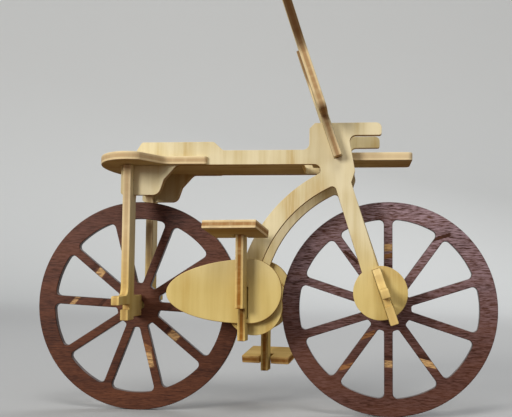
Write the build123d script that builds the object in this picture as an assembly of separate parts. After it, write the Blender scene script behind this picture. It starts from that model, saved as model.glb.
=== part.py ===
from build123d import *
import math
import os

# A small bicycle cut from flat plywood and pushed together, in millimetres.
# X points forward, Z up, and the drive side of the bicycle is at -Y.
# Outlines are laid out from the rear hub, with heights from the axle line, and the
# finished pieces are moved so that the origin is the middle of the saddle's top face.
# _X is a distance ahead of the rear hub, _BACK one behind the front hub, _OVER a height
# above the tyres, and _OUT a distance outside a frame plate.

# Sheet
PLY = 3.0                  # thickness of every piece
FIT = 0.1                  # play on each side of a piece in its slot

# Wheels
WHEEL_R = 40.0
WHEELBASE = 95.8
RIM_W = 6.6
SPOKE_W = 3.2
SPOKES = 10
HUB_R = 8.6
SPOKE_FILLET = 1.8         # window corners at the rim
SPOKE_ROOT_FILLET = 0.9    # window corners at the hub
FRONT_PHASE = 18.0         # angle of the first spoke, in degrees
REAR_PHASE = -3.0

# Top tube, with a raised stretch beside the saddle and a lug for the rear fork
FRAME_GAP = 29.0           # clear width between the two frame plates
TUBE_OVER = 12.5           # lower edge of the top tube
TUBE_H = 5.3
HUMP_H = 3.2
HUMP_REAR_X = 2.4
HUMP_FRONT_X = 35.0
HUMP_REAR_RUN = 2.0        # length of the slopes at its two ends
HUMP_FRONT_RUN = 3.4
LUG_TAIL = 3.4             # how far the lug reaches behind the rear fork's middle
LUG_H = 11.2
LUG_FOOT_X = 10.9
LUG_KNEE_X = 13.0
LUG_KNEE_H = 5.3           # below the top tube
LUG_ROOT_X = 17.8
LUG_TAIL_FILLET = 1.2
LUG_FOOT_FILLET = 3.0
LUG_ROOT_FILLET = 3.5
HUMP_FILLET = 1.8
HUMP_REAR_FILLET = 1.2
SADDLE_LAP_X = 8.6         # frame slot behind this, saddle slot ahead of it

# Head, measured from the fork's line at the head's middle
HEAD_H = 15.1              # from the top tube's lower edge to the top
HEAD_REAR = 8.8
HEAD_FRONT = 5.4
HOOK_REACH = 17.3
HOOK_H = 4.6
HEAD_CUT = 2.0             # cut across the top rear corner
BULGE = 4.4                # bulge in the front edge, ahead of the fork's line
BULGE_H = 2.5              # below the top tube's lower edge
BULGE_FOOT_H = 6.7
HEAD_FOOT_H = 12.5
NOTCH_R = 2.25             # round end of the gap between top tube and down tube
NOTCH_X = 4.1              # end of that gap, ahead of the head's rear edge
BULGE_FILLET = 1.6
HOOK_ROOT_FILLET = 2.2
HOOK_LIP_FILLET = 0.8      # lower corner of the hook's end
HOOK_NOSE_FILLET = 2.0
HEAD_STEP_FILLET = 2.4     # between the top tube and the head's rear edge

# Down tube, a band round the front wheel, and its round lower end
BAND_GAP = 9.0             # from the tyre to the band
BAND_W = 6.2
BAND_FROM = 109.0          # angles of its ends about the front hub, in degrees
BAND_TO = 186.0
BRACKET_R = 10.3
BRACKET_GAP = 8.7          # from the tyre to the bracket's middle
BRACKET_Z = 0.6

# Front leg and its round end
LEG_W = 6.2
LEG_LEAN = 17.2            # degrees back from upright
LEG_BACK = 4.5             # at the cheek's height
LEG_ROOT_FILLET = 1.6
CHEEK_R = 9.7
CHEEK_BACK = 3.3
CHEEK_Z = 6.1

# Front fork and handlebar, one sheet that leans back. Heights run along the sheet from the hub.
FORK_LEAN = 18.5
LEG_IN = 6.0               # inner face of a fork leg, from the middle
CROWN_OVER = 4.0           # fork crowns above the tyres
CROWN_FILLET = 4.0
TIP_TOP = 15.4             # top of the fork tip that shows outside the frame
TIP_CUT = 2.0
FRONT_FOOT = -5.2
FRONT_BITE = (1.5, 4.9)    # notch between the tip's peg and its foot
TAB_OVER_TUBE = 2.5        # foot of the tab outside the head, above the top tube's lower edge
TAB_OUT = 4.5
BAR_OVER_HEAD = 1.9
BAR_HALF = 36.0
BAR_H = 12.0
BAR_FILLET = 3.0
HORN_RISE = 22.0           # from the bar's foot to where its ends spread
HORN_SPREAD = 14.0         # further out at the tip
HORN_TIP_RISE = 17.0       # and further up
HORN_W = 9.0
HORN_FILLET = 3.0

# Rear fork, one upright sheet
REAR_OUT = 4.0
REAR_LEG_W = 8.0
REAR_FOOT = -5.0
REAR_BITE = (-1.0, 0.9)
REAR_CROWN_FILLET = 4.5

# Fork tips and axle tongues
PEG_OUT = 16.0             # end of the peg on each fork tip
PEG_H = 3.3
PEG_FILLET = 3.0           # between the peg and the leg above it
PEG_END_FILLET = 0.9
TIP_OUT = 4.0
BITE_OUT = 1.2             # bottom of the notch under the peg
SHOULDER_GAP = 0.7         # between a fork tongue's shoulder and the wheel
TONGUE_H = 8.0
PIN_H = 3.0                # square pin that enters the wheel's bore
PIN_END_GAP = 0.4          # from a pin's end to the middle of the bicycle
BORE_PLAY = 0.08           # from the pin's corners to the bore

# Saddle, flush with the top tube's lower edge
SADDLE_X = 2.6             # widest place
SADDLE_BACK = 16.0         # from there to the rear end
SADDLE_HALF = 34.0
TAPER_LENGTH = 4.8         # from the widest place to where the sides turn in
NOSE_X = 13.6              # where the straight nose starts
NOSE_END_X = 29.3
NOSE_WALL = 2.0            # saddle outside the frame plate
NOSE_FILLET = 1.2
TAPER_FILLET = 3.0
TONGUE_GAP = 3.3           # from the saddle's tongue to the head

# Head tongue
HEAD_TONGUE_OVER_TUBE = 2.1
HEAD_TONGUE_HALF = 11.0
HEAD_TONGUE_REAR = 9.0     # behind the fork's line at the head's middle
HEAD_TONGUE_REACH = 28.7   # ahead of it
HEAD_TONGUE_FILLET = 2.0

# Chain guards
GUARD_REAR_X = 15.2        # rear tip, the narrow end of a half ellipse
GUARD_REAR_Z = 5.2
GUARD_FRONT_R = 11.6       # round front end, and half the ellipse's height
GUARD_BEHIND = 1.3         # middle of the front end, behind the bracket's middle
GUARD_RISE = 5.7           # and above it

# Crank, one sheet that is the same after half a turn, apart from the foot of its drive-side arm
CRANK_BEHIND = 2.0         # behind the bracket's middle
CRANK_RISE = 1.5           # above it
CRANK_TURN = 4.7           # degrees that the sheet sits off square in its loose slots
CRANK_REACH = 28.7         # from the middle to the end of an arm
CRANK_TAIL = 13.6          # from the middle to an arm's other end
CRANK_STEP = 2.0           # step between the arm and its tail, past the middle
CRANK_OUT = 9.5
CRANK_TAIL_OUT = 5.0
CRANK_WEB_H = 11.0

# Pedals, each with a notch in its inner edge that holds a crank arm
PEDAL_L = 20.0
PEDAL_W = 14.6
PEDAL_OUT = 4.9            # inner edge
PEDAL_BACK = 2.6           # crank arm that stands past the pedal
PEDAL_TILT = 11.5          # outer edge up
PEDAL_TURN = 12.0          # seen from above
PEDAL_LOOSE = 0.5          # play on each side of the arm in the notch

FAR = 3 * WHEEL_R          # past the end of any piece, for cuts and sectors
BORE_R = math.hypot(PIN_H, PLY) / 2 + BORE_PLAY
PLATE_IN = FRAME_GAP / 2
PLATE_OUT = PLATE_IN + PLY
GUARD_OUT = PLATE_OUT + PLY

TUBE_Z = WHEEL_R + TUBE_OVER
TUBE_TOP = TUBE_Z + TUBE_H
HUMP_TOP = TUBE_TOP + HUMP_H
LUG_Z = TUBE_Z - LUG_H
REAR_LAP_Z = TUBE_Z - LUG_H / 2      # frame slot below this, rear fork slot above it
HEAD_TOP = TUBE_Z + HEAD_H
HOOK_Z = HEAD_TOP - HOOK_H
SADDLE_Z = TUBE_Z
SADDLE_TOP = SADDLE_Z + PLY
CROWN_Z = WHEEL_R + CROWN_OVER
HEAD_TONGUE_Z = TUBE_Z + HEAD_TONGUE_OVER_TUBE
BAND_IN = WHEEL_R + BAND_GAP
BRACKET_X = WHEELBASE - WHEEL_R - BRACKET_GAP
CRANK_X = BRACKET_X - CRANK_BEHIND
CRANK_Z = BRACKET_Z + CRANK_RISE
GUARD_FRONT_X = BRACKET_X - GUARD_BEHIND
GUARD_FRONT_Z = BRACKET_Z + GUARD_RISE
ORIGIN = (SADDLE_X, 0, SADDLE_TOP)


def tangent(degrees):
    return math.tan(math.radians(degrees))


def along(height):
    """Distance from the hub along the leaning fork sheet to a height above the axle."""
    return height / math.cos(math.radians(FORK_LEAN))


def fork_x(z):
    return WHEELBASE - z * tangent(FORK_LEAN)


def leg_x(z):
    """Middle of the frame's front leg at a height."""
    return WHEELBASE - LEG_BACK - (z - CHEEK_Z) * tangent(LEG_LEAN)


HEAD_X = fork_x((TUBE_Z + HEAD_TOP) / 2)
TAB_FOOT = along(TUBE_Z + TAB_OVER_TUBE)
BAR_FOOT = along(HEAD_TOP + BAR_OVER_HEAD)

os.makedirs("parts", exist_ok=True)


def save(name, solid):
    """Move a finished piece into the saddle's frame and write it."""
    moved = Pos(-ORIGIN[0], -ORIGIN[1], -ORIGIN[2]) * solid
    moved.label = name
    export_step(moved, f"parts/{name}.step")


def side_plate(sketch, y_low, thick=PLY):
    """A sheet parallel to the bicycle's middle plane, from a sketch in X and Z."""
    plane = Plane(origin=(0, y_low + thick, 0), x_dir=(1, 0, 0), z_dir=(0, -1, 0))
    return extrude(plane * sketch, thick)


def cross_plate(sketch, lean, foot, thick=PLY):
    """A sheet across the bicycle, from a sketch in Y and height along the sheet."""
    turn = Location((foot, 0, 0), (0, -lean, 0))
    plane = Plane(origin=(-thick / 2, 0, 0), x_dir=(0, 1, 0), z_dir=(1, 0, 0))
    return turn * extrude(plane * sketch, thick)


def flat_plate(sketch, z_low, thick=PLY):
    return Pos(0, 0, z_low) * extrude(sketch, thick)


def outline(points):
    return make_face(Polyline(*points, close=True))


def span(x0, x1, y0, y1):
    """A rectangle between two X and two Y values of its sketch."""
    return Pos((x0 + x1) / 2, (y0 + y1) / 2) * Rectangle(abs(x1 - x0), abs(y1 - y0))


def rounded(sketch, spots, reach=0.3):
    """Fillet the corners of a sketch that lie at the given points."""
    for x, y, radius in spots:
        near = [v for v in sketch.vertices() if math.hypot(v.X - x, v.Y - y) < reach]
        sketch = fillet(near, radius)
    return sketch


def mirrored(sketch):
    """A sketch of the +Y half, with its mirror image."""
    return sketch + mirror(sketch, about=Plane.YZ)


def slot_box(x0, x1, y0, y1, z0, z1):
    return Pos((x0 + x1) / 2, (y0 + y1) / 2, (z0 + z1) / 2) * Box(x1 - x0, y1 - y0, z1 - z0)


# Wheels
def wheel(phase, hub_x):
    """Rim, hub and spokes in one sheet, with rounded corners in each window."""
    inner = WHEEL_R - RIM_W
    window_ring = Circle(inner) - Circle(HUB_R)
    for k in range(SPOKES):
        spoke = Pos(inner / 2, 0) * Rectangle(inner + RIM_W, SPOKE_W)
        window_ring -= Rot(0, 0, phase + k * 360 / SPOKES) * spoke
    windows = Sketch()
    for face in window_ring.faces():
        window = Sketch() + face
        roots = [v for v in window.vertices() if math.hypot(v.X, v.Y) < inner / 2]
        window = fillet(roots, SPOKE_ROOT_FILLET)
        ends = [v for v in window.vertices() if math.hypot(v.X, v.Y) > inner - SPOKE_FILLET]
        window = fillet(ends, SPOKE_FILLET)
        windows += window
    disc = Circle(WHEEL_R) - Circle(BORE_R) - windows
    return side_plate(Pos(hub_x, 0) * disc, -PLY / 2)


# Frame plates
def top_tube():
    tail = -LUG_TAIL
    lug_mid = SADDLE_Z + PLY / 2
    tube = outline([(tail, LUG_Z), (LUG_FOOT_X, LUG_Z), (LUG_KNEE_X, TUBE_Z - LUG_KNEE_H),
                    (LUG_ROOT_X, TUBE_Z), (HEAD_X, TUBE_Z), (HEAD_X, TUBE_TOP), (HUMP_FRONT_X, TUBE_TOP),
                    (HUMP_FRONT_X - HUMP_FRONT_RUN, HUMP_TOP), (HUMP_REAR_X + HUMP_REAR_RUN, HUMP_TOP),
                    (HUMP_REAR_X, TUBE_TOP), (HUMP_REAR_X, lug_mid), (tail, lug_mid)])
    return rounded(tube, [(tail, LUG_Z, LUG_TAIL_FILLET), (LUG_FOOT_X, LUG_Z, LUG_FOOT_FILLET),
                          (LUG_ROOT_X, TUBE_Z, LUG_ROOT_FILLET), (HUMP_FRONT_X, TUBE_TOP, HUMP_FILLET),
                          (HUMP_FRONT_X - HUMP_FRONT_RUN, HUMP_TOP, HUMP_FILLET),
                          (HUMP_REAR_X + HUMP_REAR_RUN, HUMP_TOP, HUMP_REAR_FILLET)])


def wheel_arch():
    """Open air between the down tube and the front leg, with its round top corner."""
    edge = LEG_W / 2
    side = outline([(leg_x(0) - edge, 0), (leg_x(HEAD_TOP) - edge, HEAD_TOP),
                    (BRACKET_X, HEAD_TOP), (BRACKET_X, 0)])
    arch = Pos(WHEELBASE, 0) * Circle(BAND_IN) & side
    return fillet(arch.vertices().sort_by(Axis.Y)[-1], LEG_ROOT_FILLET)


def head():
    rear = HEAD_X - HEAD_REAR
    front = HEAD_X + HEAD_FRONT
    tip = HEAD_X + HOOK_REACH
    notch = rear + NOTCH_X - NOTCH_R
    foot_z = TUBE_Z - HEAD_FOOT_H
    bulge = (fork_x(TUBE_Z - BULGE_H) + BULGE, TUBE_Z - BULGE_H)
    bulge_foot_z = TUBE_Z - BULGE_FOOT_H
    in_band = math.sqrt((BAND_IN + BAND_W / 2) ** 2 - (WHEELBASE - notch) ** 2)
    block = outline([(rear, TUBE_Z), (notch, TUBE_Z), (notch, in_band), (leg_x(foot_z), foot_z),
                     (leg_x(bulge_foot_z) + LEG_W / 2, bulge_foot_z), bulge, (front, HOOK_Z), (tip, HOOK_Z),
                     (tip, HEAD_TOP), (rear + HEAD_CUT, HEAD_TOP), (rear, HEAD_TOP - HEAD_CUT)])
    block = rounded(block, [(*bulge, BULGE_FILLET), (front, HOOK_Z, HOOK_ROOT_FILLET),
                            (tip, HOOK_Z, HOOK_LIP_FILLET), (tip, HEAD_TOP, HOOK_NOSE_FILLET)])
    return block - wheel_arch() - Pos(notch, TUBE_Z - NOTCH_R) * Circle(NOTCH_R)


def sector(start, stop):
    """A wedge about the front hub, between two angles."""
    points = [(WHEELBASE, 0)]
    for angle in (start, (start + stop) / 2, stop):
        turn = math.radians(angle)
        points.append((WHEELBASE + FAR * math.cos(turn), FAR * math.sin(turn)))
    return outline(points)


def frame_sketch():
    band = Circle(BAND_IN + BAND_W) - Circle(BAND_IN)
    down_tube = Pos(WHEELBASE, 0) * band & sector(BAND_FROM, BAND_TO)
    half = LEG_W / 2
    leg = outline([(leg_x(CHEEK_Z) - half, CHEEK_Z), (leg_x(CHEEK_Z) + half, CHEEK_Z),
                   (leg_x(TUBE_Z) + half, TUBE_Z), (leg_x(TUBE_Z) - half, TUBE_Z)])
    plate = top_tube() + head() + leg + down_tube
    plate = rounded(plate, [(HEAD_X - HEAD_REAR, TUBE_TOP, HEAD_STEP_FILLET)])
    plate += Pos(WHEELBASE - CHEEK_BACK, CHEEK_Z) * Circle(CHEEK_R)
    return plate + Pos(BRACKET_X, BRACKET_Z) * Circle(BRACKET_R)


def fork_slots():
    """Space that the front fork takes through the frame plates."""
    tips = span(-FAR, FAR, -CHEEK_R, TIP_TOP + FIT)
    tab = span(-FAR, FAR, TAB_FOOT - FIT, along(HEAD_TOP) + PLY)
    return cross_plate(tips + tab, FORK_LEAN, WHEELBASE, PLY + 2 * FIT)


def frame_plate(y_low):
    lap = PLY / 2 + FIT
    plate = side_plate(frame_sketch(), y_low) - fork_slots()
    plate -= slot_box(-FAR, SADDLE_LAP_X + FIT, -FAR, FAR, SADDLE_Z - FIT, SADDLE_TOP + FIT)
    plate -= slot_box(-lap, lap, -FAR, FAR, LUG_Z - PLY, REAR_LAP_Z + FIT)
    return plate - crank_slot(y_low)


# Saddle, one flat sheet with a tongue that runs forward between the frame plates
def saddle():
    nose_half = PLATE_OUT + NOSE_WALL
    back = Pos(SADDLE_X, 0) * Ellipse(SADDLE_BACK, SADDLE_HALF)
    turn_x = SADDLE_X + TAPER_LENGTH
    turn_half = SADDLE_HALF * math.sqrt(1 - (TAPER_LENGTH / SADDLE_BACK) ** 2)
    taper = outline([(turn_x, turn_half), (NOSE_X, nose_half), (NOSE_X, -nose_half), (turn_x, -turn_half)])
    sheet = (back & span(-FAR, turn_x, -FAR, FAR)) + taper + span(NOSE_X, NOSE_END_X, -nose_half, nose_half)
    for side in (1, -1):
        sheet = rounded(sheet, [(turn_x, side * turn_half, TAPER_FILLET),
                                (NOSE_X, side * nose_half, TAPER_FILLET),
                                (NOSE_END_X, side * nose_half, NOSE_FILLET)])
    for y_in in (PLATE_IN, -PLATE_OUT):
        sheet -= span(SADDLE_LAP_X - FIT, NOSE_END_X + PLY, y_in - FIT, y_in + PLY + FIT)
    tongue_end = HEAD_X - HEAD_REAR - TONGUE_GAP
    sheet += span(SADDLE_X, tongue_end, FIT - PLATE_IN, PLATE_IN - FIT)
    return flat_plate(sheet, SADDLE_Z)


def wheel_tongue():
    """Half of the wheel's axle on a fork leg: a tall shoulder, then a pin that enters the bore."""
    shoulder_y = PLY / 2 + SHOULDER_GAP
    shoulder = span(shoulder_y, PLATE_IN, -TONGUE_H / 2, TONGUE_H / 2)
    pin = span(PIN_END_GAP, shoulder_y + PIN_H, -PIN_H / 2, PIN_H / 2)
    return shoulder + pin


def tip_outside(inner, top, bite, foot):
    """Leg end with an outward peg, a notch under the peg and a foot below that."""
    edge = PLATE_OUT + TIP_OUT
    peg_top = bite[1] + PEG_H
    upper = span(inner, edge, bite[1], top) + span(inner, PLATE_OUT + PEG_OUT, bite[1], peg_top)
    upper = rounded(upper, [(edge, peg_top, PEG_FILLET), (PLATE_OUT + PEG_OUT, peg_top, PEG_END_FILLET)])
    return upper + span(inner, edge, foot, bite[0]) + span(inner, PLATE_OUT + BITE_OUT, bite[0], bite[1])


# Front fork with its handlebar
def handlebar():
    knee = BAR_FOOT + HORN_RISE
    tip = (BAR_HALF + HORN_SPREAD, knee + HORN_TIP_RISE)
    slope = math.hypot(HORN_SPREAD, HORN_TIP_RISE)
    across = (-HORN_W * HORN_TIP_RISE / slope, HORN_W * HORN_SPREAD / slope)
    tip_in = (tip[0] + across[0], tip[1] + across[1])
    root = (BAR_HALF - HORN_W, BAR_FOOT + BAR_H)
    knee_in = (BAR_HALF - HORN_W, knee + HORN_W / 2)
    half = outline([(0, BAR_FOOT), (BAR_HALF, BAR_FOOT), (BAR_HALF, knee), tip, tip_in, knee_in, root,
                    (0, BAR_FOOT + BAR_H)])
    return rounded(half, [(BAR_HALF, BAR_FOOT, BAR_FILLET), (BAR_HALF, knee, 2 * HORN_FILLET),
                          (*tip, HORN_FILLET), (*tip_in, HORN_FILLET), (*knee_in, HORN_FILLET),
                          (*root, 2 * HORN_FILLET)])


def front_fork():
    inside = PLATE_IN - FIT
    crown = CROWN_Z
    leg = span(LEG_IN, inside, FRONT_FOOT, crown + CROWN_FILLET) + span(0, inside, crown, BAR_FOOT + PLY)
    leg = rounded(leg, [(LEG_IN, crown, CROWN_FILLET)])
    tip = span(inside - PLY, PLATE_OUT, FRONT_FOOT, TIP_TOP)
    tip += tip_outside(PLATE_OUT - PLY, TIP_TOP, FRONT_BITE, FRONT_FOOT)
    tip = chamfer([v for v in tip.vertices() if v.X > PLATE_OUT and v.Y > TIP_TOP - FIT], TIP_CUT)
    tab = span(0, PLATE_OUT + TAB_OUT, TAB_FOOT, BAR_FOOT + PLY)
    half = leg + tip + tab + handlebar() + wheel_tongue()
    fork = cross_plate(mirrored(half), FORK_LEAN, WHEELBASE)
    reach = HEAD_TONGUE_HALF + FIT
    return fork - slot_box(0, WHEELBASE, -reach, reach, HEAD_TONGUE_Z - FIT, HEAD_TONGUE_Z + PLY + FIT)


def head_tongue():
    end = HEAD_X + HEAD_TONGUE_REACH
    sheet = span(HEAD_X - HEAD_TONGUE_REAR, end, -HEAD_TONGUE_HALF, HEAD_TONGUE_HALF)
    sheet = rounded(sheet, [(end, side * HEAD_TONGUE_HALF, HEAD_TONGUE_FILLET) for side in (1, -1)])
    return flat_plate(sheet, HEAD_TONGUE_Z)


# Rear fork
def rear_fork():
    top = SADDLE_Z - FIT
    edge = PLATE_OUT + REAR_OUT
    inner = edge - REAR_LEG_W
    half = tip_outside(inner, top, REAR_BITE, REAR_FOOT) + span(0, edge, CROWN_Z, top)
    half = rounded(half, [(inner, CROWN_Z, REAR_CROWN_FILLET)])
    half += wheel_tongue()
    half -= span(PLATE_IN - FIT, PLATE_OUT + FIT, REAR_LAP_Z - FIT, top + PLY)
    return cross_plate(mirrored(half), 0, 0)


# Chain guards
def guard(y_low):
    back = GUARD_FRONT_X - GUARD_REAR_X
    tilt = math.degrees(math.atan2(GUARD_FRONT_Z - GUARD_REAR_Z, back))
    tail = Ellipse(back, GUARD_FRONT_R) & span(-FAR, 0, -FAR, FAR)
    body = Pos(GUARD_FRONT_X, GUARD_FRONT_Z) * (Circle(GUARD_FRONT_R) + Rot(0, 0, tilt) * tail)
    return side_plate(body, y_low) - crank_slot(y_low)


def crank_slot(y_low):
    """Opening for the turned crank sheet in a plate that starts at a distance from the middle."""
    slope = tangent(CRANK_TURN)
    half = PLY / 2 / math.cos(math.radians(CRANK_TURN)) + PLY / 2 * slope + FIT
    middle = CRANK_X + (y_low + PLY / 2) * slope
    tall = CRANK_WEB_H / 2 + FIT
    return slot_box(middle - half, middle + half, y_low - PLY, y_low + 2 * PLY,
                    CRANK_Z - tall, CRANK_Z + tall)


# Crank: the drive-side arm goes up and the far arm goes down
def crank():
    askew = PLY / 2 * tangent(CRANK_TURN)
    skew = math.cos(math.radians(CRANK_TURN))
    arm_in = (GUARD_OUT + FIT + askew) / skew
    foot_in = (PLATE_OUT + FIT + askew) / skew
    foot_top = GUARD_FRONT_Z - GUARD_FRONT_R - FIT - CRANK_Z
    tail_out = PLATE_OUT + CRANK_TAIL_OUT
    arm = span(-PLATE_OUT - CRANK_OUT, -arm_in, -CRANK_STEP, CRANK_REACH)
    tail = span(-tail_out, -arm_in, -CRANK_TAIL, CRANK_WEB_H / 2)
    foot = span(-tail_out, -foot_in, -CRANK_TAIL, foot_top)
    web = span(-arm_in - FIT, arm_in + FIT, -CRANK_WEB_H / 2, CRANK_WEB_H / 2)
    sheet = web + arm + tail + foot + Rot(0, 0, 180) * (arm + tail)
    return Location((CRANK_X, 0, CRANK_Z), (0, 0, -CRANK_TURN)) * cross_plate(sheet, 0, 0)


def pedal(side):
    """A pedal: its slot hugs the crank arm, and its outer edge is tilted up."""
    tilt = math.radians(PEDAL_TILT)
    notch = CRANK_OUT + PEDAL_LOOSE - PEDAL_OUT
    half = PLY / 2 + PEDAL_LOOSE + notch / 2 * tangent(PEDAL_TURN - CRANK_TURN)
    sheet = Rectangle(PEDAL_L, PEDAL_W) - span(-half, half, -PEDAL_W, notch - PEDAL_W / 2)
    blank = Pos(0, 0, -PLY / 2) * extrude(Pos(0, PEDAL_W / 2) * sheet, PLY)
    inner = side * (PLATE_OUT + PEDAL_OUT)
    height = CRANK_REACH - PEDAL_BACK - PLY / 2 / math.cos(tilt)
    place = (CRANK_X + inner * tangent(CRANK_TURN), inner, CRANK_Z - side * height)
    return Pos(*place) * Rot(0, 0, -PEDAL_TURN + (180 if side < 0 else 0)) * Rot(PEDAL_TILT, 0, 0) * blank


PIECES = {
    "frame_drive_side": frame_plate(-PLATE_OUT),
    "frame_far_side": frame_plate(PLATE_IN),
    "front_wheel": wheel(FRONT_PHASE, WHEELBASE),
    "rear_wheel": wheel(REAR_PHASE, 0),
    "saddle": saddle(),
    "front_fork": front_fork(),
    "head_tongue": head_tongue(),
    "rear_fork": rear_fork(),
    "guard_drive_side": guard(-GUARD_OUT),
    "guard_far_side": guard(PLATE_OUT),
    "crank": crank(),
    "pedal_drive_side": pedal(-1),
    "pedal_far_side": pedal(1),
}
for name, solid in PIECES.items():
    save(name, solid)
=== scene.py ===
import math

import bmesh
import bpy
from mathutils import Matrix, Vector


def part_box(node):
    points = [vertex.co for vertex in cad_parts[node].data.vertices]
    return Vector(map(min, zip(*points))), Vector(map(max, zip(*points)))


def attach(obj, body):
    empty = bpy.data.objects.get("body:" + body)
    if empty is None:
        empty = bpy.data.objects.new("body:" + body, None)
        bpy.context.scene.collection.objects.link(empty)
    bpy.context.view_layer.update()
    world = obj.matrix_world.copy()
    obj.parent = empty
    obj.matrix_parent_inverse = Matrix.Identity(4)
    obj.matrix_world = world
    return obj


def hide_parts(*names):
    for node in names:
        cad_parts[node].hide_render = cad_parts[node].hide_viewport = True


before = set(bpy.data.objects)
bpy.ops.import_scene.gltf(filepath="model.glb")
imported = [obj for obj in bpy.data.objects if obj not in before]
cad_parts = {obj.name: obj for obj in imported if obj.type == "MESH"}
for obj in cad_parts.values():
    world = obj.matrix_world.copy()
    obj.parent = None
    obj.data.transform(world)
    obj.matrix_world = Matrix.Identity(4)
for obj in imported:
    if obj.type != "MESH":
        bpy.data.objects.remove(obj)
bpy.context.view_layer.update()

mm = 0.001
thickness = 3 * mm  # every piece is cut from the same sheet
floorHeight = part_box("front_wheel")[0][2]
forward, up, left = Vector((1, 0, 0)), Vector((0, 0, 1)), Vector((0, 1, 0))


def centreOf(node):
    low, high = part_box(node)
    return (Vector(low) + Vector(high)) / 2


# Node helpers
def addNode(tree, kind, inputs=None, **settings):
    node = tree.nodes.new(kind)
    for name, value in settings.items():
        setattr(node, name, value)
    for key, value in (inputs or {}).items():
        if isinstance(value, bpy.types.NodeSocket):
            tree.links.new(value, node.inputs[key])
        else:
            node.inputs[key].default_value = value
    return node


def mathNode(tree, operation, *values):
    return addNode(tree, "ShaderNodeMath", dict(enumerate(values)), operation=operation).outputs[0]


def vectorNode(tree, operation, a, b):
    node = addNode(tree, "ShaderNodeVectorMath", {0: a, 1: b}, operation=operation)
    return node.outputs["Value" if operation == "DOT_PRODUCT" else "Vector"]


def vectorPart(tree, vector, index):
    return addNode(tree, "ShaderNodeSeparateXYZ", {0: vector}).outputs[index]


def mixNumbers(tree, amount, a, b):
    return addNode(tree, "ShaderNodeMix", {0: amount, 2: a, 3: b}).outputs[0]


def mixColours(tree, amount, a, b, blend="MIX"):
    ends = [end if isinstance(end, bpy.types.NodeSocket) else (*end, 1) for end in (a, b)]
    inputs = {0: amount, 6: ends[0], 7: ends[1]}
    return addNode(tree, "ShaderNodeMix", inputs, data_type="RGBA", blend_type=blend).outputs[2]


def stepNode(tree, value, low, high, toLow=0.0, toHigh=1.0):
    inputs = {0: value, 1: low, 2: high, 3: toLow, 4: toHigh}
    return addNode(tree, "ShaderNodeMapRange", inputs, interpolation_type="SMOOTHSTEP").outputs[0]


# Lays a colour over another where a value goes from start to full
def layColour(tree, base, colour, value, start, full, strength=1.0):
    return mixColours(tree, stepNode(tree, value, start, full, 0.0, strength), base, colour)


def noiseNode(tree, vector, stretch, scale, detail, roughness):
    vector = vectorNode(tree, "MULTIPLY", vector, stretch)
    inputs = {"Vector": vector, "Scale": scale, "Detail": detail, "Roughness": roughness}
    return addNode(tree, "ShaderNodeTexNoise", inputs).outputs[0]


def rampNode(tree, value, stops):
    node = addNode(tree, "ShaderNodeValToRGB", {0: value})
    marks = node.color_ramp.elements
    while len(marks) < len(stops):
        marks.new(0.5)
    for mark, (place, colour) in zip(marks, stops):
        mark.position = place
        mark.color = (*colour, 1)
    return node.outputs[0]


def startMaterial(name):
    material = bpy.data.materials.new(name)
    material.use_nodes = True
    return material, material.node_tree, material.node_tree.nodes["Principled BSDF"]


# Coordinates of one sheet, in millimetres: across the grain, along the grain, and through the thickness
def sheetCoordinates(tree, sheet):
    turn = Matrix(sheet["axes"]).transposed()
    source = addNode(tree, "ShaderNodeTexCoord").outputs
    mapping = addNode(tree, "ShaderNodeMapping", {
        "Vector": source["Object"], "Location": sheet["centre"], "Rotation": turn.to_euler(),
    }, vector_type="TEXTURE")
    local = vectorNode(tree, "MULTIPLY", mapping.outputs[0], (1 / mm, 1 / mm, 1 / mm))
    through = tuple(sheet["axes"][2])
    flat = mathNode(tree, "ABSOLUTE", vectorNode(tree, "DOT_PRODUCT", source["Normal"], through))
    return local, flat


seedShift = Vector((37.0, 61.0, 0))  # millimetres, times the sheet's seed


# The wood's patterns on one sheet: its seed shifts them, so no two sheets show the same figure
def sheetPatterns(tree, sheet, local, look):
    shifted = vectorNode(tree, "ADD", local, sheet["seed"] * seedShift)
    return {name: noiseNode(tree, shifted, *pattern) for name, pattern in look["patterns"].items()}


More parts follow.
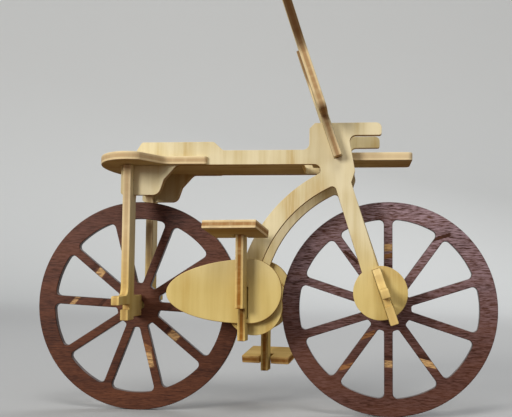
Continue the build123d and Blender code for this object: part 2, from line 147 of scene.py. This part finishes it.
# Birch plywood under a matt lacquer
birch = {
    "cream": (0.755, 0.66, 0.43),
    "straw": (0.65, 0.545, 0.315),
    "honey": (0.56, 0.415, 0.19),
    "plain": (0.675, 0.57, 0.32),
    "pore": (0.45, 0.31, 0.13),
    "rim": (0.78, 0.63, 0.38),
    "outerPly": (0.64, 0.47, 0.24),
    "innerPly": (0.31, 0.145, 0.045),
    "glue": (0.20, 0.095, 0.03),
    "scorch": (0.26, 0.13, 0.045),
    # painted shade for the downward-facing cut edge at the handlebar's upper end
    "paintedEdgeShade": (0.13, 0.055, 0.018),
    "bounceTint": (0.915, 0.82, 0.51),  # painted warm bounce light: the tint laid on the colour near the ground
    "bounceTintFrom": -22.0 * mm,  # heights
    "bounceTintTo": -52.0 * mm,
    "patterns": {  # stretch across, along and through the sheet, scale, detail, roughness
        "bands": ((1, 0.07, 0.3), 0.16, 3, 0.55),
        "fibres": ((1, 0.04, 0.3), 1.5, 5, 0.7),
        "clouds": ((1, 1, 1), 0.05, 2, 0.55),
        "pores": ((1, 0.1, 1), 3.4, 2, 0.6),
        "wander": ((1, 1, 1), 0.35, 2, 0.55),
        "streaks": ((1, 1, 0.2), 0.4, 3, 0.6),
        "burns": ((1, 1, 1), 0.1, 3, 0.6),
    },
    "bandShare": 0.65,  # of the face's tone, and the clouds give the rest
    "tones": ((0.38, "honey"), (0.47, "straw"), (0.56, "cream")),
    "traces": [  # pattern, where it starts and is full, strength, colour
        ("fibres", 0.42, 0.70, 0.40, "cream"),
        ("fibres", 0.46, 0.26, 0.30, "honey"),
        ("pores", 0.64, 0.76, 0.22, "pore"),
    ],
    # The plies, in millimetres from the sheet's middle
    "innerHalf": 0.52,
    "innerBlur": 0.07,
    "glueFades": (0.26, 0.10),  # outside the inner ply
    "rimFrom": 1.22,
    "rimBlur": 0.12,
    "wander": 0.24,  # how far their lines stray
    "glueShare": 0.6,
    "innerStreaks": (0.42, 0.72, 0.5),  # start, full, strength
    "outerStreaks": (0.40, 0.70, 0.6),
    "scorches": (0.52, 0.68, 0.6),
    "cleanShare": 0.75,  # of the rim's colour over a clean edge
    "edgeTurn": (0.9, 0.6),  # cosine to the face where the cut edge starts and is full
    "roughness": 0.5,
    "roughSpread": (0.3, 0.7, -0.06, 0.08),  # range of the fibres, and what it adds
    "edgeRoughness": 0.1,  # more on the cut edge
    "gloss": 0.0,
    "glueGroove": -0.9,  # height of a glue line, where the fibres have 0 to 1
    "bump": 0.05 * mm,
    "bumpStrength": 0.6,
}


# Face veneer: wide soft bands, fine fibres and short pores along the grain
def birchFace(tree, sheet, look, patterns):
    clouds = mathNode(tree, "MULTIPLY", patterns["clouds"], 1 - look["bandShare"])
    tone = mathNode(tree, "MULTIPLY_ADD", patterns["bands"], look["bandShare"], clouds)
    face = rampNode(tree, tone, [(place, look[colour]) for place, colour in look["tones"]])
    face = mixColours(tree, 1 - sheet["figure"], face, look["plain"])
    for pattern, start, full, strength, colour in look["traces"]:
        share = strength * sheet["figure"]
        face = layColour(tree, face, look[colour], patterns[pattern], start, full, share)
    return face


# Cut edge: a brown inner ply, a dark glue line on each side of it, and pale rims
def birchEdge(tree, sheet, look, patterns, local):
    wander = mathNode(tree, "MULTIPLY_ADD", patterns["wander"], look["wander"], -look["wander"] / 2)
    depth = mathNode(tree, "ABSOLUTE", mathNode(tree, "ADD", vectorPart(tree, local, 2), wander))
    half, blur, rim, rimBlur = look["innerHalf"], look["innerBlur"], look["rimFrom"], look["rimBlur"]
    inner = stepNode(tree, depth, half + blur, half - blur)
    outside = stepNode(tree, depth, *(half + fade for fade in look["glueFades"]))
    glue = mathNode(tree, "SUBTRACT", outside, inner)
    innerPly = layColour(tree, look["innerPly"], look["outerPly"], patterns["streaks"], *look["innerStreaks"])
    outerPly = layColour(tree, look["outerPly"], look["rim"], patterns["streaks"], *look["outerStreaks"])
    outerPly = layColour(tree, outerPly, look["rim"], depth, rim - rimBlur, rim + rimBlur)
    edge = mixColours(tree, inner, outerPly, innerPly)
    edge = mixColours(tree, mathNode(tree, "MULTIPLY", glue, look["glueShare"]), edge, look["glue"])
    start, full, share = look["scorches"]
    share = share * (1 - sheet["clean"])
    edge = layColour(tree, edge, look["scorch"], patterns["burns"], start, full, share)
    edge = mixColours(tree, look["cleanShare"] * sheet["clean"], edge, look["rim"])
    # Colours laid along the grain on the cut edge, among them painted shade
    for start, full, strength, colour in sheet.get("ends", []):
        edge = layColour(tree, edge, look[colour], vectorPart(tree, local, 1), start, full, strength)
    return edge, glue


def birchMaterial(sheet, look=birch):
    material, tree, shader = startMaterial("birch_" + sheet["node"])
    local, flat = sheetCoordinates(tree, sheet)
    patterns = sheetPatterns(tree, sheet, local, look)
    face = birchFace(tree, sheet, look, patterns)
    edge, glue = birchEdge(tree, sheet, look, patterns, local)
    isEdge = stepNode(tree, flat, *look["edgeTurn"])
    wood = mixColours(tree, isEdge, face, edge)
    # Painted warm bounce light: the colour is tinted warmer toward the ground
    height = vectorPart(tree, addNode(tree, "ShaderNodeTexCoord").outputs["Object"], 2)
    tinted = mixColours(tree, 1.0, wood, sheet.get("bounceTint", look["bounceTint"]), "MULTIPLY")
    wood = layColour(tree, wood, tinted, height, look["bounceTintFrom"], look["bounceTintTo"])
    tree.links.new(wood, shader.inputs["Base Color"])
    rough = stepNode(tree, patterns["fibres"], *look["roughSpread"])
    rough = mathNode(tree, "ADD", rough, look["roughness"])
    rough = mathNode(tree, "MULTIPLY_ADD", isEdge, look["edgeRoughness"], rough)
    tree.links.new(rough, shader.inputs["Roughness"])
    shader.inputs["Specular IOR Level"].default_value = look["gloss"]
    groove = mathNode(tree, "MULTIPLY", glue, isEdge)
    ridges = mathNode(tree, "MULTIPLY_ADD", groove, look["glueGroove"], patterns["fibres"])
    bump = addNode(tree, "ShaderNodeBump", {
        "Height": ridges, "Distance": look["bump"], "Strength": look["bumpStrength"]})
    tree.links.new(bump.outputs[0], shader.inputs["Normal"])
    return material


# Every piece has its corners eased, and a birch sheet keeps its cut outline, in a copy
softCorner = {
    "width": 0.32 * mm,
    "thinWall": 0.15 * mm,  # on the frame plates, where 0.6 mm of wood is left above the fork's slot
    "segments": 2,
    "angle": math.radians(38),  # a flatter corner stays as it is
    "shadeSharp": math.radians(40),
    "flatWithin": math.radians(1),
    "weld": 0.002 * mm,
}


# Only outer corners are eased: an inner corner stays as the saw left it
def weighCorners(mesh):
    work = bmesh.new()
    work.from_mesh(mesh)
    weight = work.edges.layers.float.new("bevel_weight_edge")
    for edge in work.edges:
        if len(edge.link_faces) == 2 and edge.is_convex and edge.calc_face_angle() > softCorner["angle"]:
            edge[weight] = 1.0
    work.to_mesh(mesh)
    work.free()


def finishMesh(mesh, name, width):
    weighCorners(mesh)
    piece = bpy.data.objects.new(name, mesh)
    bpy.context.scene.collection.objects.link(piece)
    bevel = piece.modifiers.new("eased", "BEVEL")
    bevel.width = width
    bevel.segments = softCorner["segments"]
    bevel.limit_method = "WEIGHT"
    bevel.use_clamp_overlap = False
    bevel.harden_normals = True
    mesh.shade_smooth()
    mesh.set_sharp_from_angle(angle=softCorner["shadeSharp"])
    graph = bpy.context.evaluated_depsgraph_get()
    solid = bpy.data.meshes.new_from_object(piece.evaluated_get(graph))
    piece.modifiers.clear()
    piece.data = solid
    return piece


def easedCopy(node, width):
    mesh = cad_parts[node].data.copy()
    work = bmesh.new()
    work.from_mesh(mesh)
    bmesh.ops.remove_doubles(work, verts=work.verts, dist=softCorner["weld"])
    bmesh.ops.dissolve_limit(work, angle_limit=softCorner["flatWithin"], verts=work.verts, edges=work.edges)
    work.to_mesh(mesh)
    work.free()
    return finishMesh(mesh, "eased_" + node, width)


def placePiece(piece, node, material, body):
    piece.data.materials.clear()
    piece.data.materials.append(material)
    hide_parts(node)
    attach(piece, body)


# How the slanted sheets stand, in degrees
slant = {"fork": 18.5, "crank": -4.7, "pedalSpin": -12, "pedalTip": 11.5}

forkTurn = Matrix.Rotation(math.radians(-slant["fork"]), 3, "Y")
crankTurn = Matrix.Rotation(math.radians(slant["crank"]), 3, "Z")


# The two pedals are alike, each turned to its own side
def pedalAxes(turnRound):
    spin = Matrix.Rotation(math.radians(slant["pedalSpin"] + turnRound), 3, "Z")
    turn = spin @ Matrix.Rotation(math.radians(slant["pedalTip"]), 3, "X")
    return turn @ left, turn @ forward, turn @ up


# axes: across the grain, along it and through the sheet
# clean: how pale its cut edge is, and figure: how strong its grain is
# ends: millimetres along the grain where a colour on its edge starts and is full, strength, colour
birchSheets = [
    {"node": "frame_drive_side", "axes": (forward, up, -left), "seed": 1, "clean": 0.2, "figure": 0.9,
     "ease": softCorner["thinWall"]},
    {"node": "frame_far_side", "axes": (forward, up, -left), "seed": 2, "clean": 0.2, "figure": 0.9,
     "ease": softCorner["thinWall"]},
    {"node": "guard_drive_side", "axes": (forward, up, -left), "seed": 3, "clean": 0.1, "figure": 0.55},
    {"node": "guard_far_side", "axes": (forward, up, -left), "seed": 4, "clean": 0.1, "figure": 0.45},
    {"node": "saddle", "axes": (-left, forward, up), "seed": 5, "clean": 0.6, "figure": 0.9},
    {"node": "head_tongue", "axes": (-left, forward, up), "seed": 6, "clean": 1.0, "figure": 0.9},
    {"node": "front_fork", "axes": (left, forkTurn @ up, forkTurn @ forward), "seed": 7, "clean": 0.3,
     "figure": 0.9, "centre": centreOf("front_wheel"),
     # painted shade on the cut edge from 93 mm along the grain, where the handlebar's edge faces down
     "ends": [(93.0, 101.0, 0.85, "paintedEdgeShade"), (40.0, 24.0, 0.8, "rim")]},
    {"node": "rear_fork", "axes": (left, up, forward), "seed": 8, "clean": 0.7, "figure": 0.7},
    {"node": "crank", "axes": (crankTurn @ left, up, crankTurn @ forward), "seed": 9, "clean": 0.0,
     "figure": 0.7},
    {"node": "pedal_drive_side", "axes": pedalAxes(180), "seed": 10, "clean": 0.1, "figure": 0.7},
    # the lower pedal has its own painted warm bounce tint
    {"node": "pedal_far_side", "axes": pedalAxes(0), "seed": 11, "clean": 0.1, "figure": 0.7,
     "bounceTint": (0.93, 0.76, 0.48)},
]

for sheet in birchSheets:
    node = sheet["node"]
    sheet.setdefault("centre", centreOf(node))
    piece = easedCopy(node, sheet.get("ease", softCorner["width"]))
    placePiece(piece, node, birchMaterial(sheet), "bicycle")
print("sheets:", len(birchSheets))


# Wheels, cut from stained sheet
wheel = {
    "rimRadius": 40 * mm,
    "rimWidth": 6.6 * mm,
    "hubRadius": 8.6 * mm,
    "boreRadius": thickness / math.sqrt(2) + 0.08 * mm,  # the square pins' corners, and their play
    "spokes": 10,
    "spokeWidth": 3.2 * mm,
    "rimFillet": 1.8 * mm,
    "hubFillet": 0.9 * mm,
    "arcPoints": 16,
    "arcMargin": 0.13,  # share of a window's arc left free for the fillet at each end
    "rimPoints": 160,
    "borePoints": 40,
    "filletPoints": 6,
    "weld": 0.01 * mm,
}


# One window between two spokes, as a closed curve with its corners rounded
# Points 0 to arcPoints - 1 run along the rim, and the last two lie on the hub
def windowCurve(tree, given, step):
    def calc(operation, *values):
        return mathNode(tree, operation, *values)

    arcPoints, margin = wheel["arcPoints"], wheel["arcMargin"]
    index = tree.nodes.new("GeometryNodeInputIndex").outputs[0]
    rimInside = calc("SUBTRACT", given["Rim Radius"], given["Rim Width"])
    halfSpoke = calc("DIVIDE", given["Spoke Width"], 2.0)
    outerEnd = calc("ARCSINE", calc("DIVIDE", halfSpoke, rimInside))
    innerEnd = calc("ARCSINE", calc("DIVIDE", halfSpoke, given["Hub Radius"]))
    inputs = {0: index, 1: 1, 2: arcPoints - 2, 3: margin, 4: 1 - margin}
    along = addNode(tree, "ShaderNodeMapRange", inputs).outputs[0]
    along = calc("MULTIPLY", along, calc("GREATER_THAN", index, 0.5))
    pastArc = calc("GREATER_THAN", index, arcPoints - 1.5)
    along = calc("ADD", along, calc("MULTIPLY", pastArc, margin))
    outerSweep = calc("SUBTRACT", step, calc("MULTIPLY", outerEnd, 2.0))
    outerAngle = calc("MULTIPLY_ADD", along, outerSweep, outerEnd)
    innerSweep = calc("SUBTRACT", step, calc("MULTIPLY", innerEnd, 2.0))
    onHub = calc("GREATER_THAN", index, arcPoints - 0.5)
    firstHub = calc("LESS_THAN", index, arcPoints + 0.5)
    innerAngle = calc("MULTIPLY_ADD", firstHub, innerSweep, innerEnd)
    angle = mixNumbers(tree, onHub, outerAngle, innerAngle)
    radius = mixNumbers(tree, onHub, rimInside, given["Hub Radius"])
    place = addNode(tree, "ShaderNodeCombineXYZ", {
        0: calc("MULTIPLY", radius, calc("COSINE", angle)),
        1: calc("MULTIPLY", radius, calc("SINE", angle)),
    }).outputs[0]
    ring = addNode(tree, "GeometryNodeCurvePrimitiveCircle", {"Resolution": arcPoints + 2, "Radius": 1.0})
    window = addNode(tree, "GeometryNodeSetPosition", {"Geometry": ring.outputs[0], "Position": place})
    firstPoint = calc("LESS_THAN", index, 0.5)
    atCorner = calc("MAXIMUM", firstPoint, calc("COMPARE", index, arcPoints - 1, 0.1))
    rimPart = calc("MULTIPLY", atCorner, given["Rim Fillet"])
    hubPart = calc("MULTIPLY", onHub, given["Hub Fillet"])
    fillet = addNode(tree, "GeometryNodeFilletCurve", {
        "Curve": window.outputs[0], "Radius": calc("ADD", rimPart, hubPart), "Count": wheel["filletPoints"],
    }, mode="POLY")
    return fillet.outputs[0]


def joinNode(tree, parts):
    joined = tree.nodes.new("GeometryNodeJoinGeometry")
    for part in parts:
        tree.links.new(part, joined.inputs[0])
    return joined.outputs[0]


# The windows are spun round the hub and cut from the disc with the bore, and the disc gets its thickness
def wheelTree():
    tree = bpy.data.node_groups.new("spokedWheel", "GeometryNodeTree")
    sockets = {}
    for name, kind in (("Rim Radius", "Float"), ("Rim Width", "Float"), ("Hub Radius", "Float"),
                       ("Bore Radius", "Float"), ("Spokes", "Int"), ("Spoke Width", "Float"),
                       ("Rim Fillet", "Float"), ("Hub Fillet", "Float"), ("Phase", "Float"),
                       ("Thickness", "Float"), ("Material", "Material")):
        item = tree.interface.new_socket(name, in_out="INPUT", socket_type="NodeSocket" + kind)
        sockets[name] = item.identifier
    tree.interface.new_socket("Geometry", in_out="OUTPUT", socket_type="NodeSocketGeometry")
    given = tree.nodes.new("NodeGroupInput").outputs
    step = mathNode(tree, "DIVIDE", math.tau, given["Spokes"])
    window = windowCurve(tree, given, step)
    seats = addNode(tree, "GeometryNodePoints", {"Count": given["Spokes"]})
    seat = tree.nodes.new("GeometryNodeInputIndex").outputs[0]
    turn = mathNode(tree, "MULTIPLY_ADD", seat, step, given["Phase"])
    spun = addNode(tree, "GeometryNodeInstanceOnPoints", {
        "Points": seats.outputs[0], "Instance": window,
        "Rotation": addNode(tree, "ShaderNodeCombineXYZ", {2: turn}).outputs[0],
    })
    windows = addNode(tree, "GeometryNodeRealizeInstances", {0: spun.outputs[0]})
    rim = addNode(tree, "GeometryNodeCurvePrimitiveCircle", {
        "Resolution": wheel["rimPoints"], "Radius": given["Rim Radius"]})
    bore = addNode(tree, "GeometryNodeCurvePrimitiveCircle", {
        "Resolution": wheel["borePoints"], "Radius": given["Bore Radius"]})
    outline = joinNode(tree, (rim.outputs[0], bore.outputs[0], windows.outputs[0]))
    disc = addNode(tree, "GeometryNodeFillCurve", {"Curve": outline}, mode="NGONS")
    merged = addNode(tree, "GeometryNodeMergeByDistance", {
        "Geometry": disc.outputs[0], "Distance": wheel["weld"]})
    raised = addNode(tree, "GeometryNodeExtrudeMesh", {
        "Mesh": merged.outputs[0], "Offset Scale": given["Thickness"], "Individual": False}, mode="FACES")
    under = addNode(tree, "GeometryNodeFlipFaces", {0: merged.outputs[0]})
    solid = joinNode(tree, (raised.outputs[0], under.outputs[0]))
    welded = addNode(tree, "GeometryNodeMergeByDistance", {"Geometry": solid, "Distance": wheel["weld"]})
    halfDown = mathNode(tree, "DIVIDE", given["Thickness"], -2.0)
    lower = addNode(tree, "ShaderNodeCombineXYZ", {2: halfDown}).outputs[0]
    centred = addNode(tree, "GeometryNodeTransform", {"Geometry": welded.outputs[0], "Translation": lower})
    upright = addNode(tree, "GeometryNodeTransform", {
        "Geometry": centred.outputs[0], "Rotation": (math.radians(90), 0, 0)})
    plain = addNode(tree, "GeometryNodeRealizeInstances", {0: upright.outputs[0]})
    dressed = addNode(tree, "GeometryNodeSetMaterial", {
        "Geometry": plain.outputs[0], "Material": given["Material"]})
    tree.links.new(dressed.outputs[0], tree.nodes.new("NodeGroupOutput").inputs[0])
    return tree, sockets


# Red-brown stain on the wheels
stain = {
    "dark": (0.038, 0.014, 0.009),
    "mid": (0.083, 0.028, 0.014),
    # painted highlight colour for the sheen on the raised grain
    "paintedSheen": (0.37, 0.26, 0.29),
    "bare": (0.60, 0.37, 0.16),
    "ochre": (0.30, 0.135, 0.05),
    "edge": (0.082, 0.036, 0.022),
    "patterns": {  # stretch across, along and through the sheet, scale, detail, roughness
        "grain": ((1, 0.085, 0.4), 4.2, 2, 0.6),
        "bands": ((1, 0.1, 0.3), 0.22, 3, 0.6),
        "clouds": ((1, 1, 1), 0.05, 2, 0.55),
    },
    "shares": {"grain": 0.5, "bands": 0.3, "clouds": 0.2},
    "tonePlaces": (0.38, 0.48, 0.62),  # dark, mid and the wheel's own warm tone
    "paintedSheenFrom": -24.0,  # millimetres above the hub
    "paintedSheenFull": 38.0,
    "paintedSheenLow": 0.12,  # share of the painted sheen that is left low on the wheel
    "paintedSheenGrain": (0.34, 0.66),
    "ragged": (0.8, -0.4),  # how far the grain frays a mark's outline
    "markGrain": (0.32, 0.58),
    "markEdge": (1.1, 0.85),
    "edgeBands": (0.4, 0.65),
    "edgeTurn": (0.9, 0.55),
    "gloss": 0.12,
    "roughness": 0.42,
    "roughSpread": (0.3, 0.7, -0.06, 0.12),  # range of the grain, and what it adds
    "edgeRoughness": 0.30,
    "bumpStrength": 0.7,
}

# marks: x and z from the hub, half the width and height in millimetres, turn in degrees, and finish
stainedSheets = [
    {"node": "front_wheel", "seed": 21, "phase": math.radians(18), "warm": (0.112, 0.040, 0.019),
     "paintedSheenShare": 0.9, "bump": 0.14 * mm,
     "marks": [
         (-0.1, 22.8, 3.0, 1.4, 4, "bare"), (-0.1, 19.6, 3.0, 1.0, 8, "ochre"),
         (-7.9, -10.1, 3.4, 0.9, 22, "ochre"), (-15.0, -21.6, 3.6, 0.9, 16, "ochre"),
         (0.0, -20.5, 3.0, 1.3, -3, "bare"), (14.3, -20.0, 3.6, 1.2, -14, "bare"),
         (0.0, -17.8, 3.0, 0.5, 0, "dark"), (12.2, -17.6, 3.4, 0.6, -14, "dark"),
         (19.3, 26.7, 4.2, 0.7, 18, "dark"), (-13.9, 19.2, 3.6, 0.6, -40, "dark"),
     ]},
    {"node": "rear_wheel", "seed": 22, "phase": math.radians(-3), "warm": (0.138, 0.048, 0.022),
     "paintedSheenShare": 0.1, "bump": 0.09 * mm,
     "marks": [
         (-15.4, 12.2, 1.6, 2.6, -38, "bare"), (-18.4, 13.9, 1.0, 2.6, -48, "dark"),
         (-25.8, 0.8, 0.8, 3.2, -42, "bare"), (-14.5, 0.5, 0.7, 3.0, -40, "dark"),
         (13.7, -12.1, 2.1, 2.6, -45, "bare"), (11.2, -10.0, 0.7, 2.6, -40, "dark"),
         (3.0, -16.5, 2.6, 1.7, -30, "ochre"), (4.6, -20.9, 1.6, 3.0, 12, "bare"),
         (-6.8, 23.0, 2.8, 0.5, 28, "dark"), (13.3, -0.2, 0.6, 3.0, -40, "dark"),
     ]},
]


# Bare and dark marks on the spokes, frayed along the grain
def layMarks(tree, sheet, look, local, grain, face):
    ragged = mathNode(tree, "MULTIPLY_ADD", grain, *look["ragged"])
    for x, z, halfWidth, halfHeight, turn, finish in sheet["marks"]:
        spot = vectorNode(tree, "SUBTRACT", local, (z, x, 0))
        sine, cosine = math.sin(math.radians(turn)), math.cos(math.radians(turn))
        reaches = []
        for direction, half in (((sine, cosine, 0), halfWidth), ((cosine, -sine, 0), halfHeight)):
            share = mathNode(tree, "DIVIDE", vectorNode(tree, "DOT_PRODUCT", spot, direction), half)
            reaches.append(mathNode(tree, "ABSOLUTE", share))
        reach = mathNode(tree, "ADD", mathNode(tree, "MAXIMUM", *reaches), ragged)
        colour = layColour(tree, look["mid"], look[finish], grain, *look["markGrain"])
        face = layColour(tree, face, colour, reach, *look["markEdge"])
    return face


def stainMaterial(sheet, look=stain):
    material, tree, shader = startMaterial("stained_" + sheet["node"])
    local, flat = sheetCoordinates(tree, sheet)
    patterns = sheetPatterns(tree, sheet, local, look)
    grain, shares = patterns["grain"], look["shares"]
    tone = mathNode(tree, "MULTIPLY", patterns["bands"], shares["bands"])
    tone = mathNode(tree, "MULTIPLY_ADD", grain, shares["grain"], tone)
    tone = mathNode(tree, "MULTIPLY_ADD", patterns["clouds"], shares["clouds"], tone)
    tones = (look["dark"], look["mid"], sheet["warm"])
    face = rampNode(tree, tone, list(zip(look["tonePlaces"], tones)))
    # Painted highlight: a sheen laid on the raised grain, strongest on the upper half of the wheel as it
    # stands
    share = sheet["paintedSheenShare"]
    heights = (look["paintedSheenFrom"], look["paintedSheenFull"], look["paintedSheenLow"] * share, share)
    high = stepNode(tree, vectorPart(tree, local, 0), *heights)
    paintedShine = mathNode(tree, "MULTIPLY", stepNode(tree, grain, *look["paintedSheenGrain"]), high)
    face = mixColours(tree, paintedShine, face, look["paintedSheen"])
    face = layMarks(tree, sheet, look, local, grain, face)
    isEdge = stepNode(tree, flat, *look["edgeTurn"])
    edge = layColour(tree, look["dark"], look["edge"], patterns["bands"], *look["edgeBands"])
    tree.links.new(mixColours(tree, isEdge, face, edge), shader.inputs["Base Color"])
    start, full, least, most = look["roughSpread"]
    rough = stepNode(tree, grain, start, full, look["roughness"] + least, look["roughness"] + most)
    tree.links.new(mixNumbers(tree, isEdge, rough, look["edgeRoughness"]), shader.inputs["Roughness"])
    shader.inputs["Specular IOR Level"].default_value = look["gloss"]
    bump = addNode(tree, "ShaderNodeBump", {
        "Height": grain, "Distance": sheet["bump"], "Strength": look["bumpStrength"]})
    tree.links.new(bump.outputs[0], shader.inputs["Normal"])
    return material


def makeWheel(sheet, shape, sockets):
    node = sheet["node"]
    hub = centreOf(node)
    sheet.update(axes=(up, forward, left), centre=hub)
    material = stainMaterial(sheet)
    holder = bpy.data.objects.new("holder_" + node, bpy.data.meshes.new("holder"))
    bpy.context.scene.collection.objects.link(holder)
    maker = holder.modifiers.new("wheel", "NODES")
    maker.node_group = shape
    values = {
        "Rim Radius": wheel["rimRadius"], "Rim Width": wheel["rimWidth"], "Hub Radius": wheel["hubRadius"],
        "Bore Radius": wheel["boreRadius"], "Spokes": wheel["spokes"], "Spoke Width": wheel["spokeWidth"],
        "Rim Fillet": wheel["rimFillet"], "Hub Fillet": wheel["hubFillet"], "Phase": sheet["phase"],
        "Thickness": thickness, "Material": material,
    }
    for name, value in values.items():
        maker[sockets[name]] = value
    graph = bpy.context.evaluated_depsgraph_get()
    mesh = bpy.data.meshes.new_from_object(holder.evaluated_get(graph))
    holder.modifiers.clear()
    bpy.data.objects.remove(holder)
    mesh.transform(Matrix.Translation(hub))
    piece = finishMesh(mesh, "spoked_" + node, softCorner["width"])
    placePiece(piece, node, material, node)
    print("wheel:", node, len(piece.data.polygons), "faces")


wheelShape, wheelSockets = wheelTree()
for sheet in stainedSheets:
    makeWheel(sheet, wheelShape, wheelSockets)


# Floor and backdrop in one bent sheet
stage = {
    "width": 3.0,
    "front": -1.2,
    "bend": 0.9,
    "bendRadius": 0.5,
    "height": 1.6,
    "steps": 24,
    "floorShade": (0.43, 0.43, 0.425),
    "wallShade": (0.76, 0.77, 0.76),
    "bounceShade": (0.10, 0.045, 0.02),  # what the floor throws back at the bicycle
    "wallFrom": 0.5,
    "roughness": 0.9,
    "gloss": 0.1,
}


def stageMaterial():
    material, tree, shader = startMaterial("paleStage")
    seen = addNode(tree, "ShaderNodeLightPath").outputs
    direct = mathNode(tree, "MAXIMUM", seen["Is Camera Ray"], seen["Is Glossy Ray"])
    direct = mathNode(tree, "MAXIMUM", direct, seen["Is Transmission Ray"])
    depth = vectorPart(tree, addNode(tree, "ShaderNodeTexCoord").outputs["Object"], 1)
    isWall = stepNode(tree, depth, stage["wallFrom"], stage["bend"] + stage["bendRadius"])
    shade = mixColours(tree, isWall, stage["floorShade"], stage["wallShade"])
    bounce = mixColours(tree, isWall, stage["bounceShade"], stage["wallShade"])
    tree.links.new(mixColours(tree, direct, bounce, shade), shader.inputs["Base Color"])
    shader.inputs["Roughness"].default_value = stage["roughness"]
    shader.inputs["Specular IOR Level"].default_value = stage["gloss"]
    return material


def makeStage():
    radius, bend = stage["bendRadius"], stage["bend"]
    profile = [(stage["front"], floorHeight), (bend, floorHeight)]
    for k in range(1, stage["steps"] + 1):
        angle = math.radians(90) * k / stage["steps"]
        profile.append((bend + radius * math.sin(angle), floorHeight + radius * (1 - math.cos(angle))))
    profile.append((bend + radius, floorHeight + stage["height"]))
    half = stage["width"] / 2
    points = [(x, y, z) for y, z in profile for x in (-half, half)]
    faces = [(2 * k, 2 * k + 1, 2 * k + 3, 2 * k + 2) for k in range(len(profile) - 1)]
    mesh = bpy.data.meshes.new("stage")
    mesh.from_pydata(points, [], faces)
    mesh.shade_smooth()
    mesh.materials.append(stageMaterial())
    backdrop = bpy.data.objects.new("stage", mesh)
    bpy.context.scene.collection.objects.link(backdrop)
    print("floor and backdrop:", len(faces), "faces")


makeStage()


# Light, low and broad from the left as from a window, high in front, weak from the right, and from behind
# turn and rise in degrees, seen from the target, away and size in metres, and power in watts
lamps = [
    {"name": "window", "turn": 33, "rise": 18, "away": 2.2, "size": 0.68, "power": 33.2,
     "colour": (1.0, 0.98, 0.94)},
    {"name": "high", "turn": -4, "rise": 54, "away": 1.1, "size": 0.4, "power": 3.6,
     "colour": (1.0, 0.99, 0.97)},
    {"name": "fill", "turn": -55, "rise": 18, "away": 1.2, "size": 0.8, "power": 0.9,
     "colour": (0.93, 0.96, 1.0)},
    {"name": "behind", "turn": 200, "rise": 40, "away": 1.1, "size": 0.7, "power": 4.6,
     "colour": (0.97, 0.98, 1.0)},
]
lampTarget = Vector((0.05, 0, -0.03))
sky = {"colour": (0.93, 0.96, 1.0), "strength": 0.42}


def makeLamp(lamp):
    data = bpy.data.lights.new(lamp["name"], "AREA")
    data.energy = lamp["power"]
    data.size = lamp["size"]
    data.color = lamp["colour"]
    light = bpy.data.objects.new(lamp["name"], data)
    turn, rise = math.radians(lamp["turn"]), math.radians(lamp["rise"])
    bearing = Vector((-math.sin(turn) * math.cos(rise), -math.cos(turn) * math.cos(rise), math.sin(rise)))
    light.location = lampTarget + lamp["away"] * bearing
    light.rotation_euler = (-bearing).to_track_quat("-Z", "Y").to_euler()
    bpy.context.scene.collection.objects.link(light)


def makeSky():
    world = bpy.data.worlds.new("sky")
    world.use_nodes = True
    background = world.node_tree.nodes["Background"]
    background.inputs[0].default_value = (*sky["colour"], 1)
    background.inputs[1].default_value = sky["strength"]
    bpy.context.scene.world = world


for lamp in lamps:
    makeLamp(lamp)
makeSky()
print("lamps:", len(lamps))


# Camera, as the photograph sees the bicycle, with its angles in degrees
view = {
    "place": (82.5 * mm, -324.8 * mm, -42.5 * mm),
    "azimuth": 6.97,
    "elevation": -4.3,
    "roll": 0.57,
    "focalPixels": 850.0,
    "imageWidth": 512,
    "sensor": 36.0,
    "nearest": 0.01,
}


def makeCamera():
    data = bpy.data.cameras.new("camera")
    data.sensor_width = view["sensor"]
    data.lens = view["focalPixels"] / view["imageWidth"] * view["sensor"]
    data.clip_start = view["nearest"]
    camera = bpy.data.objects.new("camera", data)
    heading = Matrix.Rotation(math.radians(view["azimuth"]), 4, "Z")
    pitch = Matrix.Rotation(math.radians(90 - view["elevation"]), 4, "X")
    roll = Matrix.Rotation(math.radians(view["roll"]), 4, "Z")
    camera.matrix_world = Matrix.Translation(view["place"]) @ heading @ pitch @ roll
    bpy.context.scene.collection.objects.link(camera)
    bpy.context.scene.camera = camera


makeCamera()
bpy.context.scene.view_settings.view_transform = "Standard"
print("camera set")

bpy.context.view_layer.update()
